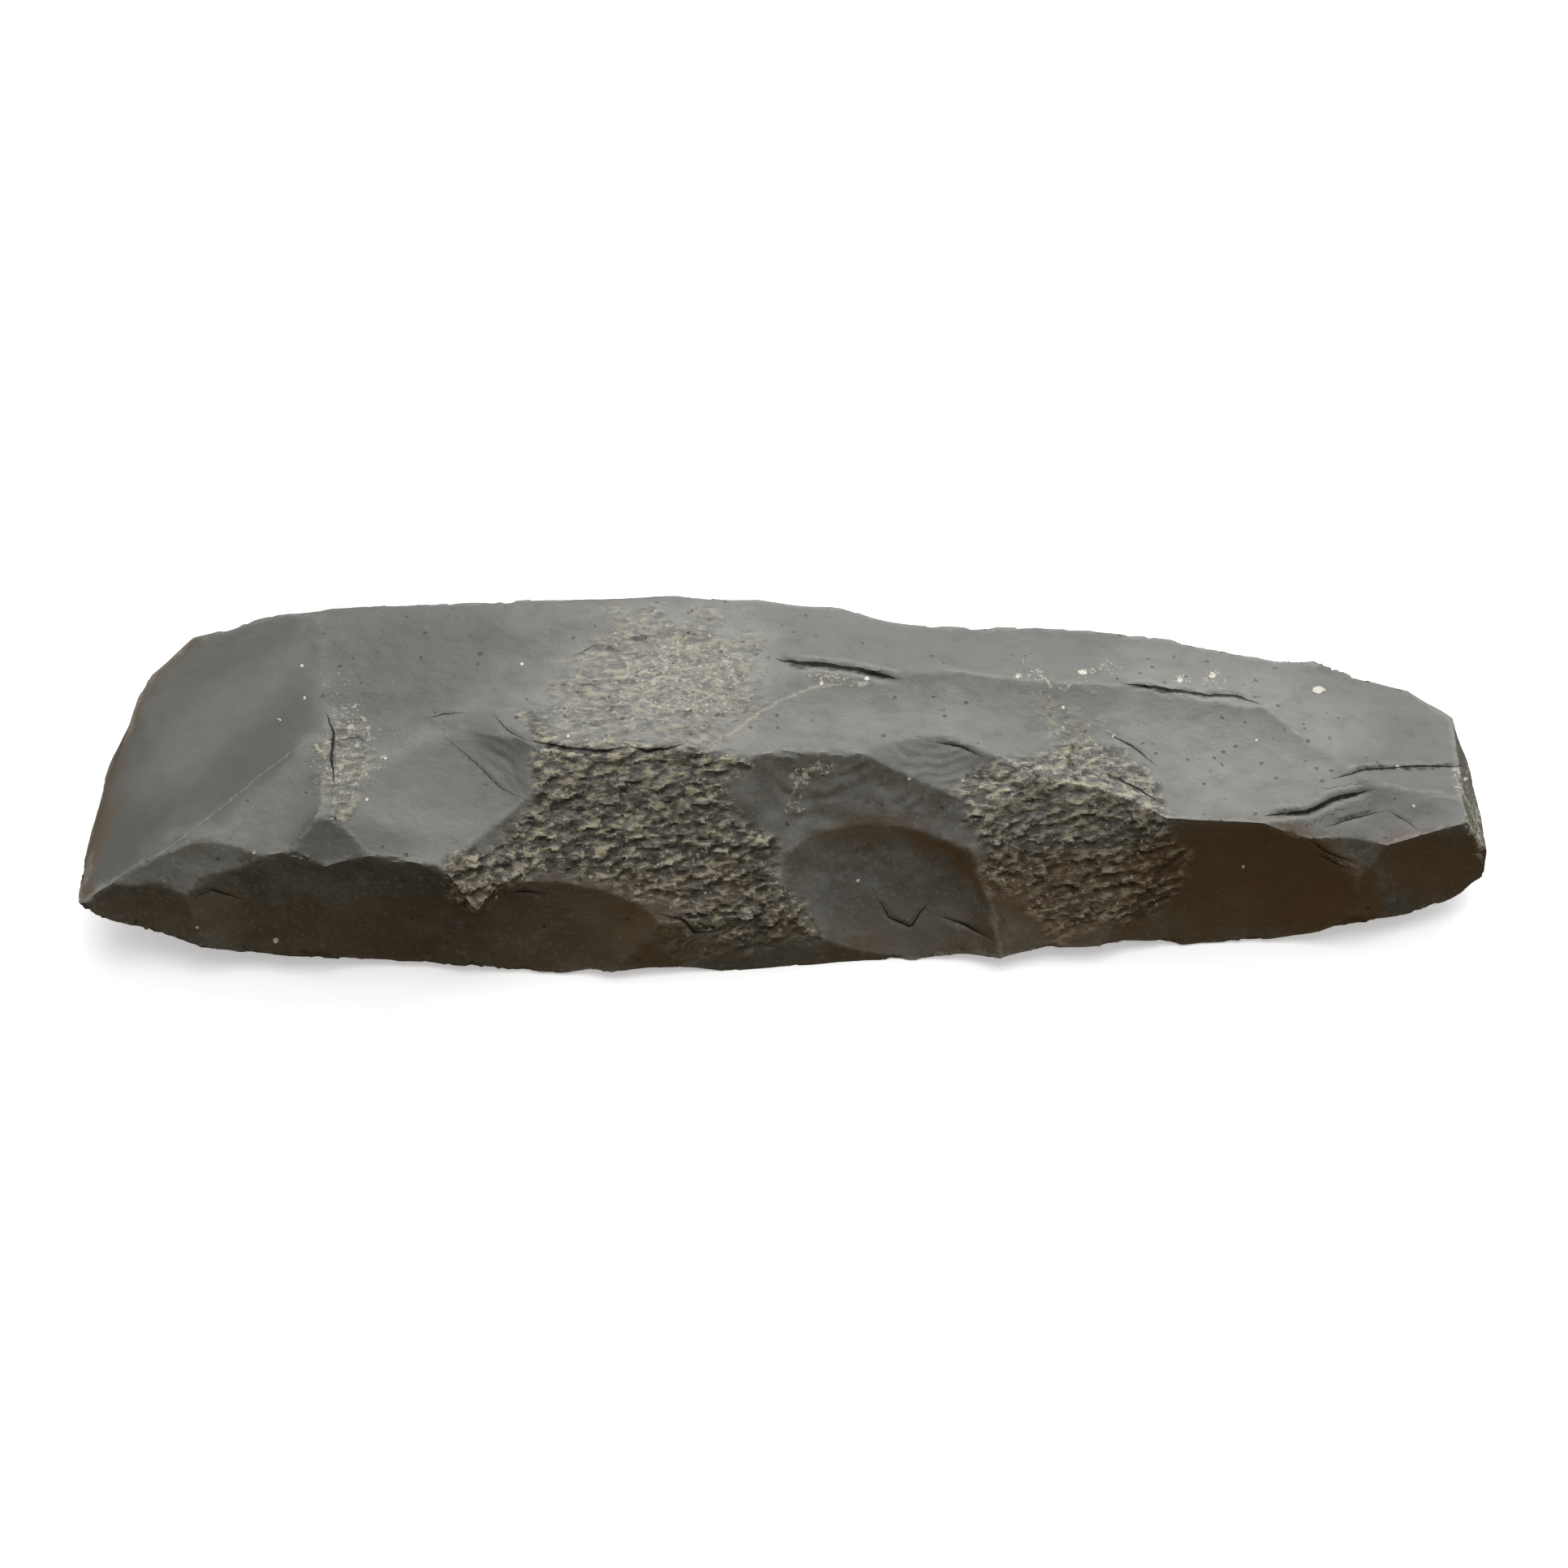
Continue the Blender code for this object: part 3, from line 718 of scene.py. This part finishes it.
def crack_grooves(points, u, v):
    """Cracks, as narrow grooves with one lip standing higher."""
    out = np.zeros(len(u))
    sway = clouds(points, 2.4 * MM, 121, 3) * 3
    for crack in CRACKS:
        gap, side, to_end = along_path(u + sway, v + sway, crack.path)
        gap_mm = gap / PIXELS_PER_MM
        groove = np.exp(-((gap_mm / (crack.wide * 0.9)) ** 2))
        lip = np.exp(-gap_mm / 2.2) * ease(side, -1.5, 2.5)
        out += (lip * crack.step - groove * crack.deep) * MM * ease(to_end, -4, 24)
    return out


def edge_wear(points, ridge, ground):
    """How much is worn and chipped off sharp edges."""
    worn = ease(ridge, 0.03 * MM, 0.14 * MM)
    chips = ease(clouds(points, 3.0 * MM, 131, 4), 0.05, 0.75)
    return worn * (0.02 + 0.30 * chips) * MM * (1 - 0.8 * ground)


def relief(points, normals, edges, look):
    """How far each point of the stone's surface moves out."""
    u, v = in_photo(points)
    at = marks(points, normals)
    ridge = bulge(points, normals, edges, 6)
    out = slow_waves(points, at, look)
    out += at["pecked"] * pecked_steps(points, ridge) * look.peck_depth
    out += ripple_waves(points, u, v) * at["shown"] * look.ripple_share
    out += crack_grooves(points, u, v) * at["shown"]
    return out - edge_wear(points, ridge, at["ground"])


def fine_stone(look):
    """The blade's finely worked mesh, made from the CAD solid."""
    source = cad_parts[NODE]
    piece = bpy.data.objects.new("adze_blade_stone", source.data.copy())
    piece.data.materials.clear()
    bpy.context.scene.collection.objects.link(piece)
    with_modifier(piece, "WELD", merge_threshold=0.001 * MM)
    spacing = look.mesh_spacing * 1.0
    with_modifier(piece, "REMESH", mode="VOXEL", voxel_size=spacing)
    smooth_facets(piece.data, source.data, look.ridge_bend)
    points, normals, edges = mesh_arrays(piece.data)
    points = points + normals * relief(points, normals, edges, look)[:, None]
    points[:, 2] = np.maximum(points[:, 2], CAD_BOX[0][2])
    put_points(piece.data, points)
    piece.data.calc_loop_triangles()
    share = min(1.0, TRIANGLE_LIMIT / len(piece.data.loop_triangles))
    if share < 1:
        with_modifier(piece, "DECIMATE", ratio=share)
    finished = piece.data
    points, normals, edges = mesh_arrays(finished)
    found = marks(points, normals)
    ridge = bulge(points, normals, edges, 5)
    found["ridge"] = np.clip(spread(ridge, edges, 1) / (0.12 * MM), -1, 1)
    for name, values in found.items():
        layer = finished.attributes.new(name, "FLOAT", "POINT")
        layer.data.foreach_set("value", values.astype(np.float32))
    finished.shade_smooth()
    finished.set_sharp_from_angle(angle=look.crisp_bend)
    return piece


# Materials.


class Value:
    """A socket of a node, on which Python's arithmetic works where it holds a number."""

    def __init__(self, paint, socket):
        self.paint = paint
        self.socket = socket

    def __add__(self, other):
        return self.paint.maths("ADD", self, other)

    def __sub__(self, other):
        return self.paint.maths("SUBTRACT", self, other)

    def __rsub__(self, other):
        return self.paint.maths("SUBTRACT", other, self)

    def __mul__(self, other):
        return self.paint.maths("MULTIPLY", self, other)

    __radd__ = __add__
    __rmul__ = __mul__

    def within(self, low, high):
        """0 at low, 1 at high, smooth between. High may be below low."""
        settings = {"interpolation_type": "SMOOTHSTEP"}
        values = {"Value": self, "From Min": low, "From Max": high}
        if high < low:
            values = {"Value": 0 - self, "From Min": -low, "From Max": -high}
        return self.paint.node("ShaderNodeMapRange", settings, values)["Result"]

    def at_least(self, other):
        """The larger of two."""
        return self.paint.maths("MAXIMUM", self, other)

    def size(self):
        """Its distance from 0."""
        return self.paint.maths("ABSOLUTE", self)


class Paint:
    """A node tree under construction, with the shader that ends it."""

    def __init__(self, tree, shader):
        self.tree = tree
        self.shader = tree.nodes[shader]

    def feed(self, socket, value):
        """Links or sets a socket."""
        if isinstance(value, Value):
            self.tree.links.new(value.socket, socket)
        elif socket.type == "RGBA":
            socket.default_value = (*value[:3], 1.0)
        else:
            socket.default_value = value

    def finish(self, values):
        """Feeds the shader."""
        for name, value in values.items():
            self.feed(self.shader.inputs[name], value)

    def node(self, kind, settings=None, values=None):
        """A new node, its settings made first, then its sockets; returns its outputs by name."""
        made = self.tree.nodes.new(kind)
        for name, value in (settings or {}).items():
            setattr(made, name, value)
        for name, value in (values or {}).items():
            self.feed(made.inputs[name], value)
        return {socket.name: Value(self, socket) for socket in made.outputs if socket.enabled}

    def maths(self, operation, *values):
        """Arithmetic on numbers."""
        return self.node("ShaderNodeMath", {"operation": operation}, dict(enumerate(values)))["Value"]

    def vectors(self, operation, *values):
        """Arithmetic on vectors that gives a vector."""
        return self.node("ShaderNodeVectorMath", {"operation": operation}, dict(enumerate(values)))["Vector"]

    def blend(self, factor, first, second):
        """Two colours mixed by a factor. The Mix node's sockets 6 and 7 take the colours."""
        values = {"Factor": factor, 6: first, 7: second}
        return self.node("ShaderNodeMix", {"data_type": "RGBA"}, values)["Result"]

    def layered(self, colour, *layers):
        """A colour with tints laid over it in turn, each by its share."""
        for share, tint in layers:
            colour = self.blend(share, colour, tint)
        return colour

    def mark(self, name):
        """A mark stored on the mesh's points."""
        return self.node("ShaderNodeAttribute", {"attribute_name": name})["Fac"]

    def place(self):
        """The point on the object, in millimetres."""
        return self.vectors("MULTIPLY", self.node("ShaderNodeTexCoord")["Object"], (1 / MM,) * 3)

    def noise(self, place, size, detail=4.0, rough=0.5, twist=0.0):
        """Noise from 0 to 1, whose largest forms are this many millimetres."""
        values = {"Vector": place, "Scale": 1 / size, "Detail": detail, "Roughness": rough}
        return self.node("ShaderNodeTexNoise", None, {**values, "Distortion": twist})["Fac"]

    def crumpled(self, place, size, amount):
        """The place shifted about, so that what is drawn there gets ragged outlines."""
        values = {"Vector": place, "Scale": 1 / size, "Detail": 3.0}
        haze = self.node("ShaderNodeTexNoise", None, values)["Color"]
        shift = self.vectors("SUBTRACT", haze, (0.5, 0.5, 0.5))
        return self.vectors("MULTIPLY_ADD", shift, (amount,) * 3, place)

    def scattered(self, place, size):
        """Spots scattered this many millimetres apart: how far off the nearest is, and its chance."""
        found = self.node("ShaderNodeTexVoronoi", None, {"Vector": place, "Scale": 1 / size})
        chance = self.node("ShaderNodeSeparateColor", None, {"Color": found["Color"]})["Red"]
        return found["Distance"], chance


def new_material(name):
    """A new material, and the paint to make it with."""
    material = bpy.data.materials.new(name)
    material.use_nodes = True
    return material, Paint(material.node_tree, "Principled BSDF")


# The basalt.


def stone_fields(p):
    """The marks and noises that the stone's colour, roughness and finest relief are made from."""
    f = SimpleNamespace(**{name: p.mark(name) for name in STONE_MARKS})
    f.up = p.node("ShaderNodeSeparateXYZ", None, {"Vector": p.node("ShaderNodeNewGeometry")["Normal"]})["Z"]
    f.place = p.place()
    f.ragged = p.crumpled(f.place, 0.9, 0.9)
    f.broad = p.noise(f.place, 26.0, 3.0)
    f.mottle = p.noise(f.place, 5.0, 5.0, 0.6)
    f.grain = p.noise(f.place, 0.55, 3.0, 0.65)
    f.fine = p.noise(f.place, 0.22, 2.0, 0.6)
    f.dints = p.noise(f.place, 1.25, 5.0, 0.62)
    turned = {"Vector": f.place, "Rotation": (0, -STEP_SLANT, 0), "Scale": (STEP_STRETCH, 1, 1)}
    scaly = p.node("ShaderNodeMapping", {"vector_type": "TEXTURE"}, turned)["Vector"]
    f.crumbs = p.noise(scaly, 0.80, 4.0, 0.58, 0.5)
    f.smears = p.noise(p.vectors("MULTIPLY", f.place, (0.75, 1.0, 1.0)), 2.4, 5.0, 0.58, 0.4)
    f.scratches = p.noise(p.vectors("MULTIPLY", f.place, (0.35, 1.9, 1.0)), 1.1, 3.0, 0.6)
    return f


def skin_colour(p, f, look):
    """Dark basalt with a weathered skin, painted paler where it faces up for light from above; ground in its
    patches, with painted light on up-facing smooth scars, painted shade, bleaching with painted sheen, and
    painted brown bounce light.
    """
    return p.layered(
        p.blend(f.mottle.within(0.38, 0.62), look.stone_dark, look.stone_mid),
        (f.grain.within(0.52, 0.66) * 0.22, look.fleck),
        # Paler skin on the up-facing faces: partly weathering, partly painted light from above, so the flanks
        # stay dark.
        (f.up.within(0.58, 0.97) * (0.72 + 0.56 * f.mottle - 0.25 * f.pecked), look.weathered_and_lit_top),
        # Up-facing smears painted paler: painted light.
        (f.smears.within(0.48, 0.66) * f.up.within(0.2, 0.8) * 0.42, look.lit_scar_tint),
        (f.smears.within(0.48, 0.34) * 0.42, look.stone_mid),
        (f.pecked * 0.35 * f.mottle, look.bruised),
        (f.ground * 0.55 * f.broad.within(0.25, 0.7), look.ground_tint),
        # Smooth scars painted paler where they face up: painted light.
        (f.smooth * 0.5 * f.up.within(0.3, 0.8), look.lit_scar_tint),
        # Painted shade in its patches.
        (f.painted_shade * (0.45 + 0.4 * f.smears), look.painted_shade),
        # Paler in its patches: partly bleaching, partly painted sheen.
        (f.pale * (0.30 + 0.5 * f.smears) * f.up.within(-0.1, 0.6), look.bleached_and_sheen),
        # Painted brown bounce light and shade.
        (f.stained * (0.35 + 0.75 * f.broad.within(0.3, 0.65)), look.brown_bounce_tint),
        (f.grain.within(0.62, 0.78) * 0.22, look.fleck),
        (f.fine.within(0.40, 0.25) * 0.35, GRAIN_SHADE),
    )


def shaded_pits(f):
    """The bottoms of the dints, where shade is painted in."""
    return (f.crumbs.within(0.47, 0.36) * f.pecked).at_least(f.ridge.within(-0.15, -0.8) * f.pecked)


def crushed_and_highlight(f):
    """Crushed stone between the dints, with painted highlights on bump tops and up-facing faces."""
    share = f.crumbs.within(0.47, 0.60) * f.pecked * (0.30 + 0.70 * f.ridge.within(-0.4, 0.3))
    return share * (0.45 + 0.9 * f.smears) * (0.85 + 0.45 * f.up) * (1 - 0.5 * f.stained)


def worn(f):
    """Ridges where the skin has worn off, with painted highlights that are stronger where they face up."""
    share = f.ridge.within(0.10, 0.55) * (0.45 + 0.55 * f.grain.within(0.35, 0.6))
    return share * (1 - 0.6 * f.pecked) * (0.15 + 0.85 * f.up.within(0.30, 0.80))


def crest_lines_and_highlight(f):
    """Thin pale lines along crests: partly crushed stone and crust, partly painted highlights."""
    off = (f.crest + (f.mottle - 0.5) * 0.5 + (f.crumbs - 0.5) * 0.9).size() - f.crest_room
    return off.within(0.06, -0.10) * f.grain.within(0.30, 0.55)


def caked(p, f):
    """Pale crust: in cakes, in sandy patches and in grains between the dints."""
    amount = f.crusted * (0.35 + 0.9 * p.noise(f.place, 3.4, 3.0))
    coarse = (p.noise(f.ragged, 1.2, 6.0, 0.66, 0.4) + 0.28 * amount).within(0.67, 0.76)
    sandy = (p.noise(f.ragged, 0.45, 3.0, 0.6) + 0.28 * amount).within(0.69, 0.76)
    gap, chance = p.scattered(f.ragged, 0.55)
    grains = gap.within(0.52, 0.34) * (chance + f.pecked * 0.10).within(0.98, 1.06)
    share = (coarse.at_least(sandy) * f.crusted.within(0.02, 0.2)).at_least(grains)
    return share * (f.crusted + f.pecked).within(0.02, 0.2)


def crystals(p, f):
    """Pale crystals and specks with ragged outlines."""
    gap = p.maths("SQRT", f.speck_u * f.speck_u + f.speck_v * f.speck_v)
    gap = gap + (f.grain - 0.5) * 1.1 + (f.crumbs - 0.5) * 0.9
    return gap.within(1.0, 0.62) * f.speck.within(3.0, 2.2)


def pocked(p, f):
    """Small pocks scattered over the skin, painted dark as shade in them."""
    gap, chance = p.scattered(f.ragged, 1.5)
    share = gap.within(0.22, 0.10) * (chance + f.pale * 0.60).within(0.84, 0.92)
    return share * (1 - 0.85 * f.ground) * (1 - 0.6 * f.smooth)


def split(f):
    """The painted shade in cracks."""
    room = f.crack_room * (0.3 + 1.4 * f.smears)
    off = (f.crack + (f.mottle - 0.5) * 0.5 + (f.crumbs - 0.5) * 0.5).size() - room
    return off.within(0.05, -0.07)


def finest_relief(f):
    """The relief that is finer than the mesh, in millimetres."""
    height = (f.grain - 0.5) * 0.030 + (f.fine - 0.5) * 0.012 + (f.mottle - 0.5) * 0.05
    height = height * (1 - 0.5 * f.ground)
    height = height + f.pecked * ((f.dints - 0.5) * 0.22 + (f.crumbs - 0.5) * 0.55)
    height = height + ((f.smears - 0.5) * 0.13 + (f.dints - 0.5) * 0.07) * (1 - 0.75 * f.ground)
    height = height + f.caked * 0.05 + f.crystal * 0.12 - f.split * 0.35 - f.pocked * 0.08
    return height + f.ground * (f.scratches - 0.5) * 0.012


def stone_material(look):
    """Dark basalt with a paler skin on top, partly weathering and partly painted light from above; crushed
    and crusted where it was pecked, with painted highlights on the crushed stone and painted shade in the
    dints.
    """
    material, p = new_material("basalt")
    f = stone_fields(p)
    f.caked = caked(p, f)
    f.crystal = crystals(p, f)
    f.pocked = pocked(p, f)
    f.split = split(f)
    colour = p.layered(
        skin_colour(p, f, look),
        (shaded_pits(f) * 0.55, look.pit_shade),
        (crushed_and_highlight(f) * 0.95, look.crushed_and_highlight),
        (worn(f) * 0.38, look.edge),
        (crest_lines_and_highlight(f) * 0.50, look.crushed_and_highlight),
        (f.caked * (0.12 + 0.9 * f.fine), look.crust),
        (f.crystal * 0.78, look.crystal),
        (f.pocked * 0.6, look.pit_shade),
        (f.split * 0.93, look.crack),
    )
    rough = 0.50 - 0.06 * f.ground + 0.07 * (f.mottle - 0.5) + 0.05 * (f.grain - 0.5)
    rough = rough + 0.22 * f.pecked + 0.3 * f.caked + 0.2 * f.split - 0.05 * f.smooth - 0.12 * f.crystal
    bump = {"Strength": 1.0, "Distance": MM, "Height": finest_relief(f)}
    p.finish(
        {
            "Base Color": colour,
            "Roughness": rough,
            "Normal": p.node("ShaderNodeBump", None, bump)["Normal"],
            "Metallic": 0.0,
            "IOR": look.gloss_index,
        }
    )
    return material


# The stage's materials.


def floor_material(look):
    """The plain pale floor."""
    material, p = new_material("pale floor")
    p.finish(
        {
            "Base Color": look.floor_colour,
            "Emission Color": look.floor_colour,
            "Emission Strength": look.floor_glow,
            "Roughness": 0.9,
            "Specular IOR Level": 0.1,
        }
    )
    return material


def surroundings(look):
    """A studio that is bright above and behind, and dim and warm below and in front."""
    world = bpy.data.worlds.new("surroundings")
    world.use_nodes = True
    p = Paint(world.node_tree, "Background")
    way = {0: p.node("ShaderNodeTexCoord")["Generated"], 1: look.sky_toward}
    bright = p.node("ShaderNodeVectorMath", {"operation": "DOT_PRODUCT"}, way)["Value"]
    sky = p.blend(bright.within(-0.35, 0.80), look.sky_low, look.sky_high)
    p.finish({"Color": sky, "Strength": look.sky})
    return world


# What a user may change.


def colour_property(name, description, default):
    return FloatVectorProperty(
        name=name, description=description, default=default, size=3, min=0.0, max=1.0, subtype="COLOR"
    )


def number_property(name, description, default, least=0.0, **more):
    return FloatProperty(name=name, description=description, default=default, min=least, **more)


def depth_property(name, description, default):
    return number_property(name, description, default, precision=5, unit="LENGTH")


def bend_property(name, description, default, least, most):
    """An angle in degrees, kept as radians."""
    bend = math.radians(default)
    return number_property(name, description, bend, least, max=most, subtype="ANGLE")


class AdzeBladeLook(bpy.types.PropertyGroup):
    """The stone's working and colours."""

    mesh_spacing: depth_property("Mesh spacing", "Distance between points of the fine mesh", 0.00042)
    ridge_bend: bend_property("Ridge bend", "Bends sharper than this stay ridges", 8.0, 0.01, 1.5)
    crisp_bend: bend_property("Crisp bend", "Bends sharper than this shade as edges", 36.0, 0.1, 3.1)
    undulation: depth_property("Undulation", "Height of the flaked surface's slow waves", 0.00012)
    flaking: number_property("Small flaking", "Depth of the small flake scars to their size", 0.022)
    peck_depth: depth_property("Peck depth", "Depth of the dints where the stone was pecked", 0.00034)
    ripple_share: number_property("Ripples", "Strength of the ripples in the flake scars", 1.0, max=3.0)
    gloss_index: number_property("Gloss", "Refractive index of the stone's skin", 1.38, 1.0, max=2.5)
    stone_dark: colour_property("Stone, dark", "Fresh basalt at its darkest", (0.058, 0.052, 0.037))
    stone_mid: colour_property("Stone, middle", "Fresh basalt", (0.088, 0.080, 0.060))
    # The paler skin on top: partly weathering, partly painted light from above.
    weathered_and_lit_top: colour_property("Weathered skin", "The paler skin on top", (0.128, 0.130, 0.120))
    ground_tint: colour_property("Ground bevel", "The ground bevel's olive tint", (0.088, 0.087, 0.073))
    # Painted light: the paler tint of up-facing smooth scars and smears.
    lit_scar_tint: colour_property("Smooth scars", "The smoothest flake scars", (0.158, 0.160, 0.151))
    # The colour of the painted shade.
    painted_shade: colour_property("Dull skin", "Where the skin is darker", (0.050, 0.050, 0.044))
    # Partly bleached skin, partly painted sheen.
    bleached_and_sheen: colour_property("Bleached skin", "Where the skin is paler", (0.270, 0.268, 0.250))
    # Painted brown bounce light, low on the flanks and at the ends.
    brown_bounce_tint: colour_property("Stain", "Brown staining low on the flanks", (0.078, 0.045, 0.017))
    fleck: colour_property("Flecks", "Fine pale grains in the stone", (0.24, 0.24, 0.22))
    # Painted shade at the bottoms of dints and in pocks.
    pit_shade: colour_property("Pits", "The bottoms of dints", (0.010, 0.009, 0.007))
    bruised: colour_property("Bruised stone", "Stone under the pecking", (0.130, 0.116, 0.083))
    # Crushed stone, with painted highlights on bump tops.
    crushed_and_highlight: colour_property("Crushed stone", "Crushed stone between the dints", (0.37, 0.335, 0.24))
    # Worn ridges, with painted highlights.
    edge: colour_property("Worn edges", "Ridges where the skin has worn", (0.26, 0.255, 0.225))
    crust: colour_property("Crust", "Pale crust that clings to the stone", (0.50, 0.48, 0.40))
    crystal: colour_property("Crystals", "Pale crystals", (0.66, 0.63, 0.53))
    # Painted shade in the cracks.
    crack: colour_property("Cracks", "The darkness in cracks", (0.006, 0.005, 0.004))


class AdzeStageLook(bpy.types.PropertyGroup):
    """The floor and the lights."""

    floor_colour: colour_property("Floor", "Colour of the floor", (0.86, 0.86, 0.86))
    key_power: number_property("Key light", "Power of the soft light behind", 5.0, unit="POWER")
    fill_power: number_property("Fill light", "Power of the soft light overhead", 1.6, unit="POWER")
    floor_glow: number_property("Floor glow", "How far the floor's shadows are lifted", 0.45)
    sky: number_property("Surroundings", "Brightness of the surroundings", 0.75)
    sky_high: colour_property("Surroundings, bright", "The bright side of the surroundings", (1.0, 1.0, 1.0))
    sky_low: colour_property("Surroundings, dim", "The dim side of the surroundings", (0.20, 0.165, 0.112))
    sky_toward: FloatVectorProperty(
        name="Bright side",
        description="The way to the bright side of the surroundings",
        default=(0.30, 0.43, 0.85),
        size=3,
        subtype="DIRECTION",
    )


# Operators, one for the blade and one for the stage.


class AdzeMakeBlade(bpy.types.Operator):
    """Make the finely worked stone in place of the CAD solid."""

    bl_idname = "adze.make_blade"
    bl_label = "Make the blade"

    def execute(self, context):
        look = context.scene.adze_blade_look
        piece = fine_stone(look)
        piece.data.materials.append(stone_material(look))
        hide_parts(NODE)
        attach(piece, "root")
        return {"FINISHED"}


def soft_light(name, place, size, power):
    """A large soft lamp that looks at the blade."""
    lamp = bpy.data.lights.new(name, "AREA")
    lamp.shape = "RECTANGLE"
    lamp.size, lamp.size_y = size
    lamp.energy = power
    ob = bpy.data.objects.new(name, lamp)
    ob.location = place
    ob.rotation_mode = "QUATERNION"
    ob.rotation_quaternion = (AIM - Vector(place)).to_track_quat("-Z", "Y")
    bpy.context.scene.collection.objects.link(ob)


class AdzeMakeStage(bpy.types.Operator):
    """Make the floor, the lights and the camera."""

    bl_idname = "adze.make_stage"
    bl_label = "Make the stage"

    def execute(self, context):
        look = context.scene.adze_stage_look
        scene = context.scene
        mesh = bpy.data.meshes.new("floor")
        r = FLOOR_REACH
        corners = [(-r, -r, 0), (r, -r, 0), (r, r, 0), (-r, r, 0)]
        mesh.from_pydata(corners, [], [(0, 1, 2, 3)])
        mesh.materials.append(floor_material(look))
        floor = bpy.data.objects.new("floor", mesh)
        scene.collection.objects.link(floor)
        floor.visible_diffuse = False
        floor.visible_glossy = False

        soft_light("key", KEY_PLACE, KEY_SIZE, look.key_power)
        soft_light("overhead", OVERHEAD_PLACE, OVERHEAD_SIZE, look.fill_power)

        scene.world = surroundings(look)
        scene.view_settings.view_transform = "Standard"

        camera = bpy.data.objects.new("camera", bpy.data.cameras.new("camera"))
        camera.data.lens = LENS
        camera.data.sensor_width = SENSOR
        camera.data.clip_start = 0.01
        back = camera_axes()[2]
        camera.location = AIM + back * CAMERA_DISTANCE
        camera.rotation_mode = "QUATERNION"
        camera.rotation_quaternion = (-back).to_track_quat("-Z", "Y")
        scene.collection.objects.link(camera)
        scene.camera = camera
        return {"FINISHED"}


class AdzePanel(bpy.types.Panel):
    """The blade's tools and settings."""

    bl_idname = "ADZE_PT_tools"
    bl_label = "Adze blade"
    bl_space_type = "VIEW_3D"
    bl_region_type = "UI"
    bl_category = "Adze"

    def draw(self, context):
        for operator, group in (
            (AdzeMakeBlade, context.scene.adze_blade_look),
            (AdzeMakeStage, context.scene.adze_stage_look),
        ):
            box = self.layout.box()
            box.operator(operator.bl_idname)
            for name in group.__annotations__:
                box.prop(group, name)


CLASSES = (AdzeBladeLook, AdzeStageLook, AdzeMakeBlade, AdzeMakeStage, AdzePanel)


def register():
    for cls in CLASSES:
        bpy.utils.register_class(cls)
    bpy.types.Scene.adze_blade_look = PointerProperty(type=AdzeBladeLook)
    bpy.types.Scene.adze_stage_look = PointerProperty(type=AdzeStageLook)


def unregister():
    del bpy.types.Scene.adze_stage_look
    del bpy.types.Scene.adze_blade_look
    for cls in reversed(CLASSES):
        bpy.utils.unregister_class(cls)


def main():
    register()
    bpy.ops.adze.make_blade()
    bpy.ops.adze.make_stage()


if __name__ == "__main__":
    main()
